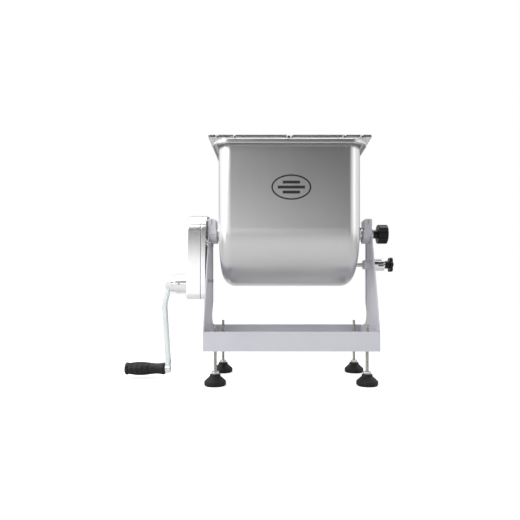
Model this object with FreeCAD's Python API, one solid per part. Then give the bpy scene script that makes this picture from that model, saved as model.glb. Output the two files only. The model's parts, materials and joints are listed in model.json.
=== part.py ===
import FreeCAD, Part
import math
import os

Vector = FreeCAD.Vector

# Hand-cranked tilting meat mixer. A stainless trough hangs on two trunnions between painted
# uprights, a spur gear train in the left-hand casing turns the paddle shaft, and an index
# plunger in the right-hand upright locks the trough level or tipped forward.
# Millimetres, +Z up, the trough tips towards -Y. The design frame has X = 0 midway between the
# uprights; row_shift_x moves every piece so that the whole machine is centred on the origin.

# Bolts that hold the uprights to the frame
bolt_radius = 3.0
bolt_head_radius = 5.5
bolt_head_height = 2.4
bolt_recess_flats = 4.0
bolt_recess_depth = 1.6
bolt_tail = 8.0
bolt_nut_flats = 10.0
bolt_nut_height = 5.0

# Base frame and uprights
frame_length = 400.0
frame_depth = 216.0
frame_bottom = 81.0
frame_height = 45.0
sheet = 3.0
frame_top = frame_bottom + frame_height
frame_end = frame_length / 2
corner_plate_size = 46.0
corner_plate_thickness = 4.0
bolting_tab_thickness = 3.0
bolting_tab_lap = 6.0

# Main axis: trough trunnions, paddle shaft and clamp knob all turn about it
axis_height = 358.0

# Upright outline, front to back and upwards
upright_front_top_y = -24.0
upright_front_foot_y = -108.0
upright_back_y = 32.0
upright_flare_y = 51.0
upright_foot_back_y = 72.0
upright_flare_top = 161.0
upright_flare_low = 134.0
upright_flange_depth = 5.5
upright_flange_run_out = 30.0
bolting_tab_set_back = 10.0
bolting_tab_drop = 37.0
upright_bolt_points = ((-70.0, 104.0), (-10.0, 104.0), (50.0, 104.0))
upright_plate_top = axis_height - 3.0

# Bearing heads on the uprights
head_inner = 179.5
head_outer = 200.5
cap_inner = 182.0
ledge_half_depth = 24.0
ledge_top = axis_height + 8.0
cap_half_depth = 21.0
cap_top = axis_height + 36.5
saddle_radius = 23.5
cap_edge_radius = 5.0
cap_plug_rise = 4.0
cap_screw_places = (-18.0, 18.0)
cap_screw_x = (cap_inner + head_outer) / 2
cap_screw_radius = 2.0
cap_screw_head_radius = 3.0
cap_screw_head_height = 4.0
cap_screw_seat = 12.0
head_hole_play = 0.5
bush_outer_radius = 15.5
running_gap = 0.05
fixed_gap = 0.02
screw_play = 0.2

# Trough
tank_radius = 128.0
tank_wall = 1.5
tank_left = -165.0
tank_right = 155.0
tank_edge_radius = 31.0
rim_top = 550.0
rim_length = 346.0
rim_depth = 286.0
rim_corner = 39.0
lip_height = 8.5
rim_bend = 6.0
tank_middle = (tank_left + tank_right) / 2
tank_length = tank_right - tank_left

# Lid
lid_thickness = 5.4
lid_length = 354.0
lid_depth = 294.0
lid_corner = 4.0
lid_notch_offsets = (-157.0, -119.5, 119.5, 157.0)
lid_notch_width = 3.0
lid_notch_depth = 5.0
lid_finger_notch_width = 11.0
lid_finger_notch_depth = 6.0

# Trunnions
trunnion_flange_radius = 27.0
trunnion_tube_radius = 13.0
trunnion_left_thickness = 6.0
trunnion_right_thickness = 12.0
trunnion_spigot_radius = 14.0
trunnion_spigot_length = 5.0
trunnion_screw_circle = 20.0
trunnion_screw_radius = 2.5
trunnion_head_radius = 4.5
trunnion_head_height = 4.0
trunnion_nut_flats = 8.0
trunnion_nut_height = 5.5
trunnion_nut_bore = 5.0
trunnion_screw_angles = (45.0, 135.0, 225.0, 315.0)
seal_length = 4.0

# Paddles
shaft_radius = 9.0
paddle_reach = 118.0
paddle_places = (-118.0, -44.0, 34.0, 108.0)
paddle_angles = (90.0, 0.0, 270.0, 180.0)
paddle_hub_radius = 17.0
paddle_hub_length = 24.0
paddle_arm_radius = 6.0
blade_length = 62.0
blade_height = 46.0
blade_thickness = 4.0
blade_pitch = 35.0
blade_corner = 12.0
key_width = 5.0
key_depth_in_shaft = 3.0
key_rise = 2.0

# Gear train
gear_module = 2.0
pressure_angle = math.radians(20.0)
backlash = 0.24
main_teeth = 36
idler_pinion_teeth = 28
idler_wheel_teeth = 42
crank_pinion_teeth = 17
idler_height = axis_height - gear_module * (main_teeth + idler_pinion_teeth) / 2
crank_height = idler_height - gear_module * (idler_wheel_teeth + crank_pinion_teeth) / 2
inner_gears = (-227.5, -216.5)
outer_gears = (-241.5, -229.5)
idler_axle_radius = 6.0
idler_collar_radius = 18.0
crank_shaft_radius = 8.0

# Gear casing, measured outwards from the left-hand upright
plate_inner = -203.0
plate_outer = -214.0
gasket_outer = -215.0
casing_outer = -249.0
casing_wall = 3.5
casing_top_radius = 45.0
casing_half_width = 50.0
casing_bottom = 198.0
casing_corner = 12.0
casing_edge = 5.0
casing_web_face = casing_outer + 4.0
shaft_seat_radius = 13.0
axle_seat_radius = 10.0
casing_boss_radius = 4.5
casing_top_boss_radius = 3.3
casing_screw_points = ((0.0, 399.8), (-42.0, 338.0), (42.0, 338.0), (-42.0, 208.0), (42.0, 208.0))
casing_screw_radius = 2.0
casing_screw_length = 24.0
casing_screw_head_radius = 3.3
casing_screw_head_height = 2.7
mount_screw_points = ((-39.0, 243.0), (19.0, 243.0), (20.0, 333.0), (-20.0, 333.0))
mount_screw_radius = 3.0
mount_screw_length = 13.0
mount_screw_head_radius = 5.0
mount_screw_head_height = 4.0
spacer_radius = 8.0
boss_outer = -293.0
boss_step = -281.0
boss_radius = 24.3
boss_nose_radius = 21.8
boss_bore_radius = 12.0
oil_screw_x = -271.0
oil_screw_radius = 2.58
oil_screw_length = 5.5

# Crank arm and grip
hub_inner = -293.8
hub_outer = -307.0
hub_radius = 14.0
arm_thickness = 11.8
arm_width = 17.0
arm_bend_x = -312.0
arm_bend_height = 182.0
arm_foot_x = -303.0
arm_knee_height = 54.0
arm_bend_radius = 60.0
arm_edge_radius = 2.5
hub_edge_radius = 1.2
shaft_flat_depth = 1.5
shaft_end_length = 9.0
crank_screw_radius = 3.0
crank_screw_head_radius = 5.9
grip_height = 24.3
arm_eye_radius = 10.5
grip_inner = -309.4
grip_outer = -407.4
grip_pin_radius = 5.0
grip_profile = ((0.0, 13.5), (3.0, 15.0), (6.0, 14.8), (14.0, 13.2), (26.0, 13.2), (39.0, 14.7),
                (52.0, 16.3), (65.0, 16.6), (78.0, 15.6), (90.0, 14.2), (94.0, 15.6), (98.0, 14.2))
grip_recess_radius = 8.4
grip_recess_depth = 4.0
grip_pin_head_radius = 8.0

# Clamp knob on the right-hand end of the main axis
knob_neck_inner = 206.0
knob_neck_outer = 217.5
knob_outer = 241.0
knob_neck_radius = 10.5
knob_radius = 23.5
knob_flutes = 8
knob_flute_radius = 4.0
knob_stud_radius = 6.0
knob_stud_tip = 170.0
end_plate_radius = 21.0
end_plate_outer = 203.5
end_plate_screw_offset = 18.3
end_plate_screw_radius = 1.6

# Index plunger in the right-hand upright
plunger_drop = 75.7
plunger_height = axis_height - plunger_drop
plunger_radius = 5.0
plunger_tip = 162.5
plunger_bush_radius = 11.5
plunger_spigot_radius = 8.5
plunger_bush_inner = 182.0
housing_radius = 15.0
housing_outer = 234.0
housing_bore_radius = 10.25
spring_wall = (212.8, 215.4)
housing_slot = (216.0, 233.0)
housing_slot_height = 9.0
cross_pin_x = 229.0
cross_pin_radius = 2.0
plunger_knob_neck_radius = 9.5
plunger_knob_inner = 246.0
plunger_knob_outer = 254.6
plunger_knob_lobes = 6
plunger_knob_lobe_radius = 5.5
plunger_knob_lobe_circle = 13.8
lug_radius = 11.0
lug_thickness = 6.0
plunger_collar = (206.5, 209.0)
plunger_collar_radius = 9.0
spring_radius = 7.0
spring_wire_radius = 0.4
spring_turns = 3

# Levelling feet
foot_places = ((-175.0, -83.0), (175.0, -83.0), (-175.0, 83.0), (175.0, 83.0))
foot_names = ("front_left", "front_right", "rear_left", "rear_right")
stud_radius = 4.0
stud_top = 141.0
pad_radius = 25.0
pad_rim_low = 3.0
pad_rim_high = 10.6
pad_collar_radius = 12.5
pad_collar_low = 21.5
pad_top = 26.0
foot_nut_flats = 17.0
foot_nut_height = 6.5
frame_nut_flats = 13.0

row_shift_x = -(grip_outer + plunger_knob_outer) / 2


def cylinder_x(radius, x_start, x_end, y=0.0, z=axis_height):
    low = min(x_start, x_end)
    return Part.makeCylinder(radius, abs(x_end - x_start), Vector(low, y, z), Vector(1, 0, 0))


def tube_x(outer, inner, x_start, x_end, y=0.0, z=axis_height):
    return cylinder_x(outer, x_start, x_end, y, z).cut(cylinder_x(inner, x_start, x_end, y, z))


def cylinder_z(radius, z_low, z_high, x, y):
    return Part.makeCylinder(radius, z_high - z_low, Vector(x, y, z_low))


def block(x_low, x_high, y_low, y_high, z_low, z_high):
    return Part.makeBox(x_high - x_low, y_high - y_low, z_high - z_low, Vector(x_low, y_low, z_low))


def joined(shapes):
    result = shapes[0]
    for shape in shapes[1:]:
        result = result.fuse(shape)
    return result.removeSplitter()


def mirrored(shape):
    return shape.mirror(Vector(0, 0, 0), Vector(1, 0, 0))


def hexagon(flats, height, base, direction):
    corner = flats / math.sqrt(3.0)
    points = []
    for index in range(7):
        angle = math.radians(60.0 * index)
        points.append(Vector(corner * math.cos(angle), corner * math.sin(angle), 0))
    prism = Part.Face(Part.makePolygon(points)).extrude(Vector(0, 0, height))
    prism.Placement = FreeCAD.Placement(base, FreeCAD.Rotation(Vector(0, 0, 1), direction))
    return prism


def socket_screw(seat, direction, shank_radius, shank_length, head_radius, head_height):
    """Cap screw whose head sits on the point seat and whose shank runs along direction."""
    head_base = seat - direction * head_height
    head = Part.makeCylinder(head_radius, head_height, head_base, direction)
    shank = Part.makeCylinder(shank_radius, shank_length, seat, direction)
    socket = hexagon(head_radius, head_height * 0.6, head_base, direction)
    return head.fuse(shank).cut(socket)


def outline_solid(points, x_start, x_end):
    """Closed front-to-back outline of (y, z) points, extruded along X."""
    corners = []
    for y, z in points:
        corners.append(Vector(x_start, y, z))
    corners.append(corners[0])
    return Part.Face(Part.makePolygon(corners)).extrude(Vector(x_end - x_start, 0, 0))


def edges_where(shape, test):
    chosen = []
    for edge in shape.Edges:
        if all(test(vertex.Point) for vertex in edge.Vertexes):
            chosen.append(edge)
    return chosen


def near(value, target):
    return abs(value - target) < 0.001


def rounded_prism(length, depth, corner, z_low, z_high):
    half_length = length / 2
    half_depth = depth / 2
    prism = block(tank_middle - half_length, tank_middle + half_length, -half_depth, half_depth,
                  z_low, z_high)
    uprights = []
    for edge in prism.Edges:
        if abs(edge.Vertexes[0].Z - edge.Vertexes[1].Z) > 0.001:
            uprights.append(edge)
    return prism.makeFillet(corner, uprights)


# Base frame: a bent strip ring with a folded bottom lip, welded at the corners

def make_base_frame():
    half = frame_depth / 2
    ring = block(-frame_end, frame_end, -half, half, frame_bottom, frame_top)
    well = block(-frame_end + sheet, frame_end - sheet, -half + sheet, half - sheet,
                 frame_bottom, frame_top)
    ring = ring.cut(well)
    for x in (-frame_end, frame_end):
        side = 1.0 if x > 0 else -1.0
        for y, z in upright_bolt_points:
            ring = ring.cut(cylinder_x(bolt_radius, x - side * sheet, x, y, z))
            ring = ring.cut(countersink(x, side, y, z))
    return ring


def countersink(x, side, y, z):
    return Part.makeCone(bolt_radius, bolt_head_radius, bolt_head_height,
                         Vector(x - side * bolt_head_height, y, z), Vector(side, 0, 0))


def make_upright_bolts():
    bolts = []
    inner_face = frame_end - sheet - bolting_tab_thickness
    for side in (-1.0, 1.0):
        for y, z in upright_bolt_points:
            shank = cylinder_x(bolt_radius - fixed_gap, side * (inner_face - bolt_tail),
                               side * (frame_end - bolt_head_height), y, z)
            head = countersink(side * frame_end, side, y, z)
            recess = hexagon(bolt_recess_flats, bolt_recess_depth,
                             Vector(side * (frame_end - bolt_recess_depth), y, z), Vector(side, 0, 0))
            bolts.append(shank.fuse(head).cut(recess).removeSplitter())
    return Part.makeCompound(bolts)


def make_upright_nuts():
    nuts = []
    inner_face = frame_end - sheet - bolting_tab_thickness
    for side in (-1.0, 1.0):
        for y, z in upright_bolt_points:
            nut = hexagon(bolt_nut_flats, bolt_nut_height, Vector(side * inner_face, y, z),
                          Vector(-side, 0, 0))
            nuts.append(nut.cut(cylinder_x(bolt_radius, side * (inner_face - bolt_nut_height),
                                           side * inner_face, y, z)))
    return nuts


def make_corner_plates():
    plates = []
    inner_x = frame_end - sheet
    inner_y = frame_depth / 2 - sheet
    for x, y in foot_places:
        x_sign = math.copysign(1.0, x)
        y_sign = math.copysign(1.0, y)
        x_ends = sorted((x_sign * inner_x, x_sign * (inner_x - corner_plate_size)))
        y_ends = sorted((y_sign * inner_y, y_sign * (inner_y - corner_plate_size)))
        plate = block(x_ends[0], x_ends[1], y_ends[0], y_ends[1],
                      frame_bottom, frame_bottom + corner_plate_thickness)
        plates.append(plate.cut(cylinder_z(stud_radius + running_gap, frame_bottom,
                                           frame_bottom + corner_plate_thickness, x, y)))
    return Part.makeCompound(plates)


def make_frame_nuts():
    nuts = make_upright_nuts()
    low = frame_bottom + corner_plate_thickness
    high = low + foot_nut_height
    for x, y in foot_places:
        nut = hexagon(frame_nut_flats, foot_nut_height, Vector(x, y, low), Vector(0, 0, 1))
        nuts.append(nut.cut(cylinder_z(stud_radius + running_gap, low, high, x, y)))
    return Part.makeCompound(nuts)


# Uprights: flat plates with a raked front edge, a folded back flange and a set-back bolting tab

def make_upright_blank():
    """Right-hand upright before its own holes are cut."""
    outer = frame_end
    inner = frame_end - sheet
    flare_start = Vector(inner, upright_back_y, upright_flare_top)
    flare_middle = Vector(inner, upright_back_y + 5.5, upright_flare_low + 10.5)
    flare_end = Vector(inner, upright_flare_y, upright_flare_low)
    foot_back = Vector(inner, upright_foot_back_y, frame_top)
    foot_front = Vector(inner, upright_front_foot_y, frame_top)
    head_front = Vector(inner, upright_front_top_y, upright_plate_top)
    head_back = Vector(inner, upright_back_y, upright_plate_top)
    edges = [Part.makeLine(head_back, flare_start),
             Part.Arc(flare_start, flare_middle, flare_end).toShape(),
             Part.makeLine(flare_end, foot_back),
             Part.makeLine(foot_back, foot_front),
             Part.makeLine(foot_front, head_front),
             Part.makeLine(head_front, head_back)]
    plate = Part.Face(Part.Wire(edges)).extrude(Vector(outer - inner, 0, 0))
    flange_inner = outer - upright_flange_depth
    flange_corners = []
    for x, z in ((outer, upright_flare_top), (inner, upright_flare_top),
                 (flange_inner, upright_flare_top + upright_flange_run_out),
                 (flange_inner, upright_plate_top), (outer, upright_plate_top),
                 (outer, upright_flare_top)):
        flange_corners.append(Vector(x, upright_back_y - sheet, z))
    flange = Part.Face(Part.makePolygon(flange_corners)).extrude(Vector(0, sheet, 0))
    tab = block(inner - bolting_tab_thickness, inner, upright_front_foot_y + bolting_tab_set_back,
                upright_foot_back_y, frame_top - bolting_tab_drop, frame_top)
    tab_lap = outline_solid(((upright_front_foot_y + bolting_tab_set_back, frame_top),
                             (upright_foot_back_y, frame_top),
                             (upright_flare_y, frame_top + bolting_tab_lap),
                             (upright_front_foot_y + bolting_tab_set_back, frame_top + bolting_tab_lap)),
                            inner - bolting_tab_thickness, inner)
    return joined([plate, flange, tab, tab_lap])


def cut_upright_common_holes(upright):
    inner = frame_end - sheet - bolting_tab_thickness
    upright = upright.cut(cylinder_x(bush_outer_radius + head_hole_play, inner, frame_end))
    for y, z in upright_bolt_points:
        upright = upright.cut(cylinder_x(bolt_radius, inner, frame_end - sheet, y, z))
    return upright


def make_right_upright():
    upright = cut_upright_common_holes(make_upright_blank())
    return upright.cut(cylinder_x(plunger_spigot_radius + fixed_gap, frame_end - sheet,
                                  frame_end, 0, plunger_height))


def make_left_upright():
    upright = mirrored(cut_upright_common_holes(make_upright_blank()))
    for y, z in mount_screw_points:
        upright = upright.cut(cylinder_x(mount_screw_radius + screw_play, -frame_end,
                                         -frame_end + sheet, y, z))
    return upright


# Bearing heads: an open saddle welded to each upright and a cap screwed down over the bush

def make_bearing_saddle():
    boss = cylinder_x(saddle_radius, head_inner, frame_end - sheet)
    boss = boss.common(block(head_inner, frame_end, -saddle_radius, saddle_radius,
                             axis_height - saddle_radius, ledge_top))
    ledge = block(head_inner, head_outer, -ledge_half_depth, ledge_half_depth,
                  upright_plate_top, ledge_top)
    saddle = joined([boss, ledge])
    saddle = saddle.cut(cylinder_x(bush_outer_radius, head_inner, head_outer))
    saddle = saddle.cut(block(head_inner, head_outer, -bush_outer_radius, bush_outer_radius,
                              axis_height, ledge_top))
    for y in cap_screw_places:
        saddle = saddle.cut(cylinder_z(cap_screw_radius, upright_plate_top, ledge_top, cap_screw_x, y))
    return saddle


def make_bearing_cap():
    cap = block(cap_inner, head_outer, -cap_half_depth, cap_half_depth, ledge_top, cap_top)
    top_edges = edges_where(cap, lambda point: near(point.z, cap_top))
    cap = cap.makeFillet(cap_edge_radius, top_edges)
    plug = block(cap_inner, head_outer, -bush_outer_radius + fixed_gap,
                 bush_outer_radius - fixed_gap, axis_height + cap_plug_rise, ledge_top)
    cap = joined([cap, plug])
    cap = cap.cut(cylinder_x(bush_outer_radius + fixed_gap, cap_inner, head_outer))
    for y in cap_screw_places:
        cap = cap.cut(cylinder_z(cap_screw_radius + screw_play, ledge_top, cap_top, cap_screw_x, y))
        cap = cap.cut(cylinder_z(cap_screw_head_radius + screw_play, ledge_top + cap_screw_seat,
                                 cap_top, cap_screw_x, y))
    return cap


def make_cap_screws():
    screws = []
    for side in (-1.0, 1.0):
        for y in cap_screw_places:
            seat = Vector(side * cap_screw_x, y, ledge_top + cap_screw_seat)
            shank_length = seat.z - upright_plate_top - 0.5
            screws.append(socket_screw(seat, Vector(0, 0, -1), cap_screw_radius - fixed_gap,
                                       shank_length, cap_screw_head_radius, cap_screw_head_height))
    return Part.makeCompound(screws)


def make_bearing_bushes():
    bushes = []
    for side in (-1.0, 1.0):
        bushes.append(tube_x(bush_outer_radius - fixed_gap, trunnion_tube_radius + running_gap,
                             side * (head_inner + 0.5), side * head_outer))
    return Part.makeCompound(bushes)


# Trough: half-round bottom, flat walls, all edges rounded, rolled rim with a down-turned lip

def trough_solid(inset, top):
    radius = tank_radius - inset
    left = tank_left + inset
    right = tank_right - inset
    front_top = Vector(left, -radius, top)
    front_low = Vector(left, -radius, axis_height)
    bottom = Vector(left, 0, axis_height - radius)
    back_low = Vector(left, radius, axis_height)
    back_top = Vector(left, radius, top)
    wire = Part.Wire([Part.makeLine(front_top, front_low),
                      Part.Arc(front_low, bottom, back_low).toShape(),
                      Part.makeLine(back_low, back_top),
                      Part.makeLine(back_top, front_top)])
    solid = Part.Face(wire).extrude(Vector(right - left, 0, 0))
    rounded = []
    for edge in solid.Edges:
        ends = [vertex.Point for vertex in edge.Vertexes]
        on_end = all(near(point.x, left) for point in ends) or all(near(point.x, right) for point in ends)
        on_top = all(near(point.z, top) for point in ends)
        if on_end and not on_top:
            rounded.append(edge)
    return solid.makeFillet(tank_edge_radius - inset, rounded)


def make_rim():
    lip_low = rim_top - lip_height
    flange_under = rim_top - tank_wall
    rim = rounded_prism(rim_length, rim_depth, rim_corner, lip_low, rim_top)
    rim = rim.makeFillet(3.0, edges_where(rim, lambda point: near(point.z, rim_top)))
    groove = rounded_prism(rim_length - 2 * tank_wall, rim_depth - 2 * tank_wall,
                           rim_corner - tank_wall, lip_low, flange_under)
    wall = rounded_prism(tank_length, 2 * tank_radius, tank_edge_radius, lip_low, flange_under)
    groove = groove.cut(wall)
    half_length = tank_length / 2 + 0.01

    def on_wall_top(point):
        inside = abs(point.x - tank_middle) < half_length and abs(point.y) < tank_radius + 0.01
        return inside and near(point.z, flange_under)

    groove = groove.makeFillet(rim_bend, edges_where(groove, on_wall_top))
    return rim.cut(groove)


def make_tank_shell():
    shell = trough_solid(0.0, rim_top).fuse(make_rim())
    shell = shell.cut(trough_solid(tank_wall, rim_top + 5.0))
    half_length = tank_length / 2 - tank_wall + 0.01
    half_depth = tank_radius - tank_wall + 0.01

    def on_mouth(point):
        inside = abs(point.x - tank_middle) < half_length and abs(point.y) < half_depth
        return inside and near(point.z, rim_top)

    shell = shell.makeFillet(rim_bend, edges_where(shell, on_mouth))
    bore = trunnion_spigot_radius + fixed_gap
    shell = shell.cut(cylinder_x(bore, tank_left, tank_left + tank_wall))
    shell = shell.cut(cylinder_x(bore, tank_right - tank_wall, tank_right))
    for y, z in trunnion_screw_points():
        shell = shell.cut(cylinder_x(trunnion_screw_radius + fixed_gap, tank_left,
                                     tank_left + tank_wall, y, z))
        shell = shell.cut(cylinder_x(trunnion_screw_radius + fixed_gap, tank_right - tank_wall,
                                     tank_right, y, z))
    return shell


def trunnion_screw_points():
    points = []
    for angle in trunnion_screw_angles:
        turn = math.radians(angle)
        points.append((trunnion_screw_circle * math.cos(turn),
                       axis_height + trunnion_screw_circle * math.sin(turn)))
    return points


def make_trunnion(wall_x, outward, thickness):
    """Flanged hollow trunnion; outward is -1 on the left-hand wall and +1 on the right-hand one."""
    flange_face = wall_x + outward * thickness
    flange = cylinder_x(trunnion_flange_radius, wall_x, flange_face)
    spigot = cylinder_x(trunnion_spigot_radius, wall_x - outward * trunnion_spigot_length, wall_x)
    tube_end = outward * head_outer
    tube = cylinder_x(trunnion_tube_radius, flange_face, tube_end)
    trunnion = joined([flange, spigot, tube])
    bore_start = wall_x - outward * trunnion_spigot_length
    trunnion = trunnion.cut(cylinder_x(shaft_radius + running_gap, bore_start, tube_end))
    for y, z in trunnion_screw_points():
        trunnion = trunnion.cut(cylinder_x(trunnion_screw_radius + fixed_gap, wall_x,
                                           flange_face, y, z))
    return trunnion


def make_trunnion_screws():
    screws = []
    sides = ((tank_left, -1.0, trunnion_left_thickness), (tank_right, 1.0, trunnion_right_thickness))
    for wall_x, outward, thickness in sides:
        for y, z in trunnion_screw_points():
            seat = Vector(wall_x + outward * thickness, y, z)
            length = thickness + tank_wall + trunnion_nut_bore - 0.5
            screws.append(socket_screw(seat, Vector(-outward, 0, 0), trunnion_screw_radius, length,
                                       trunnion_head_radius, trunnion_head_height))
    return Part.makeCompound(screws)


def make_trunnion_nuts():
    nuts = []
    for wall_x, outward in ((tank_left + tank_wall, -1.0), (tank_right - tank_wall, 1.0)):
        for y, z in trunnion_screw_points():
            nut = hexagon(trunnion_nut_flats, trunnion_nut_height, Vector(wall_x, y, z),
                          Vector(-outward, 0, 0))
            hole = cylinder_x(trunnion_screw_radius + fixed_gap, wall_x,
                              wall_x - outward * trunnion_nut_bore, y, z)
            nuts.append(nut.cut(hole))
    return Part.makeCompound(nuts)


def make_shaft_seals():
    seals = []
    for wall_x, outward in ((tank_left, -1.0), (tank_right, 1.0)):
        face = wall_x - outward * trunnion_spigot_length
        seals.append(tube_x(trunnion_spigot_radius - 0.5, shaft_radius + running_gap,
                            face, face - outward * seal_length))
    return Part.makeCompound(seals)


def make_index_lugs():
    """Two drilled lugs: one faces the plunger with the trough level, one with it tipped over."""
    lugs = []
    for y, z in ((0.0, plunger_height), (-plunger_drop, axis_height)):
        lugs.append(tube_x(lug_radius, plunger_radius + running_gap, tank_right,
                           tank_right + lug_thickness, y, z))
    return Part.makeCompound(lugs)


def make_lid_plate():
    plate = rounded_prism(lid_length, lid_depth, lid_corner, rim_top, rim_top + lid_thickness)
    front = -lid_depth / 2
    for offset in lid_notch_offsets:
        plate = plate.cut(lid_notch(offset, front, lid_notch_width, lid_notch_depth))
    return plate.cut(lid_notch(0.0, front, lid_finger_notch_width, lid_finger_notch_depth))


def lid_notch(offset, front, width, depth):
    middle = tank_middle + offset
    return block(middle - width / 2, middle + width / 2, front, front + depth,
                 rim_top, rim_top + lid_thickness)


# Paddle shaft and paddles

def make_paddle_shaft():
    shaft = cylinder_x(shaft_radius, casing_outer + 6.0, head_inner + 8.0)
    journal = cylinder_x(knob_stud_radius + running_gap, knob_stud_tip - 1.0, head_inner + 8.0)
    return shaft.cut(journal).cut(make_main_gear_key())


def make_main_gear_key():
    return block(inner_gears[0], inner_gears[1], -key_width / 2, key_width / 2,
                 axis_height + shaft_radius - key_depth_in_shaft,
                 axis_height + shaft_radius + key_rise)


def turned_about_axis(shape, degrees):
    copy = shape.copy()
    copy.rotate(Vector(0, 0, axis_height), Vector(1, 0, 0), degrees)
    return copy


def make_paddle_arms():
    """Clamp hubs on the shaft, each with one welded rod."""
    arms = []
    arm_top = axis_height + paddle_reach - blade_height
    for x, angle in zip(paddle_places, paddle_angles):
        hub = cylinder_x(paddle_hub_radius, x - paddle_hub_length / 2, x + paddle_hub_length / 2)
        rod = cylinder_z(paddle_arm_radius, axis_height, arm_top, x, 0)
        arm = joined([hub, rod])
        arm = arm.cut(cylinder_x(shaft_radius + fixed_gap, x - paddle_hub_length,
                                 x + paddle_hub_length))
        arms.append(turned_about_axis(arm, angle))
    return Part.makeCompound(arms)


def make_paddle_blades():
    blades = []
    top = axis_height + paddle_reach
    sweep = cylinder_x(paddle_reach, tank_left, tank_right)
    for index, (x, angle) in enumerate(zip(paddle_places, paddle_angles)):
        blade = block(x - blade_length / 2, x + blade_length / 2, -blade_thickness / 2,
                      blade_thickness / 2, top - blade_height, top)
        lower = edges_where(blade, lambda point: near(point.z, top - blade_height))
        short = []
        for edge in lower:
            if edge.Length < blade_thickness + 0.001:
                short.append(edge)
        blade = blade.makeFillet(blade_corner, short)
        pitch = blade_pitch if index % 2 == 0 else -blade_pitch
        blade.rotate(Vector(x, 0, axis_height), Vector(0, 0, 1), pitch)
        blades.append(turned_about_axis(blade.common(sweep), angle))
    return Part.makeCompound(blades)


# Spur gears with involute flanks

def involute(angle):
    return math.tan(angle) - angle


def flank_half_angle(teeth, radius):
    pitch_radius = gear_module * teeth / 2
    base_radius = pitch_radius * math.cos(pressure_angle)
    half_at_pitch = math.pi / (2 * teeth) - backlash / (4 * pitch_radius)
    local = math.acos(min(1.0, base_radius / radius))
    return half_at_pitch + involute(pressure_angle) - involute(local)


def polar(radius, angle, x, z):
    return Vector(x, radius * math.cos(angle), z + radius * math.sin(angle))


def make_gear(teeth, ends, z, bore_radius, tooth_at):
    """Spur gear between the two X ends, with one tooth centred on the angle tooth_at."""
    pitch_radius = gear_module * teeth / 2
    base_radius = pitch_radius * math.cos(pressure_angle)
    tip_radius = pitch_radius + gear_module
    root_radius = pitch_radius - 1.25 * gear_module
    flank_start = max(base_radius, root_radius) + 0.01
    steps = 4
    radii = []
    for step in range(steps + 1):
        radii.append(flank_start + (tip_radius - flank_start) * step / steps)
    x = ends[0]
    pitch = 2 * math.pi / teeth
    edges = []
    for tooth in range(teeth):
        centre = tooth_at + tooth * pitch
        rising = []
        falling = []
        for radius in radii:
            half = flank_half_angle(teeth, radius)
            rising.append(polar(radius, centre - half, x, z))
            falling.append(polar(radius, centre + half, x, z))
        falling.reverse()
        root_half = flank_half_angle(teeth, flank_start)
        foot_in = polar(root_radius, centre - root_half, x, z)
        foot_out = polar(root_radius, centre + root_half, x, z)
        next_foot = polar(root_radius, centre + pitch - root_half, x, z)
        root_middle = polar(root_radius, centre + pitch / 2, x, z)
        tip_middle = polar(tip_radius, centre, x, z)
        up = Part.BSplineCurve()
        up.interpolate(rising)
        down = Part.BSplineCurve()
        down.interpolate(falling)
        edges.append(Part.makeLine(foot_in, rising[0]))
        edges.append(up.toShape())
        edges.append(Part.Arc(rising[-1], tip_middle, falling[0]).toShape())
        edges.append(down.toShape())
        edges.append(Part.makeLine(falling[-1], foot_out))
        edges.append(Part.Arc(foot_out, root_middle, next_foot).toShape())
    blank = Part.Face(Part.Wire(edges)).extrude(Vector(ends[1] - ends[0], 0, 0))
    return blank.cut(cylinder_x(bore_radius, ends[0], ends[1], 0, z))


def make_main_gear():
    gear = make_gear(main_teeth, inner_gears, axis_height, shaft_radius + fixed_gap, -math.pi / 2)
    return gear.cut(make_main_gear_key())


def make_idler_pinion():
    gap_half = math.pi / idler_pinion_teeth
    return make_gear(idler_pinion_teeth, inner_gears, idler_height,
                     idler_axle_radius + running_gap, math.pi / 2 + gap_half)


def make_idler_wheel():
    wheel = make_gear(idler_wheel_teeth, outer_gears, idler_height,
                      idler_axle_radius + running_gap, -math.pi / 2)
    collar = tube_x(idler_collar_radius, idler_axle_radius + running_gap, outer_gears[1], inner_gears[0],
                    0, idler_height)
    return joined([wheel, collar])


def make_crank_pinion():
    gap_half = math.pi / crank_pinion_teeth
    return make_gear(crank_pinion_teeth, outer_gears, crank_height,
                     crank_shaft_radius + fixed_gap, math.pi / 2 + gap_half)


# Gear casing: back plate on spacers, gasket, and a deep cover with the crank boss

def casing_outline(inset, x_start, x_end):
    top_radius = casing_top_radius - inset
    half = casing_half_width - inset
    low = casing_bottom + inset
    corner = max(casing_corner - inset, 1.0)
    shoulder = idler_height
    lean = math.atan2(half - top_radius, axis_height - shoulder)
    side_y = top_radius * math.cos(lean)
    side_z = axis_height + top_radius * math.sin(lean)
    diagonal = corner * (1 - math.sqrt(0.5))
    x = x_start
    edges = [Part.Arc(Vector(x, side_y, side_z), Vector(x, 0, axis_height + top_radius),
                      Vector(x, -side_y, side_z)).toShape(),
             Part.makeLine(Vector(x, -side_y, side_z), Vector(x, -half, shoulder)),
             Part.makeLine(Vector(x, -half, shoulder), Vector(x, -half, low + corner)),
             Part.Arc(Vector(x, -half, low + corner), Vector(x, -half + diagonal, low + diagonal),
                      Vector(x, -half + corner, low)).toShape(),
             Part.makeLine(Vector(x, -half + corner, low), Vector(x, half - corner, low)),
             Part.Arc(Vector(x, half - corner, low), Vector(x, half - diagonal, low + diagonal),
                      Vector(x, half, low + corner)).toShape(),
             Part.makeLine(Vector(x, half, low + corner), Vector(x, half, shoulder)),
             Part.makeLine(Vector(x, half, shoulder), Vector(x, side_y, side_z))]
    return Part.Face(Part.Wire(edges)).extrude(Vector(x_end - x_start, 0, 0))


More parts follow.
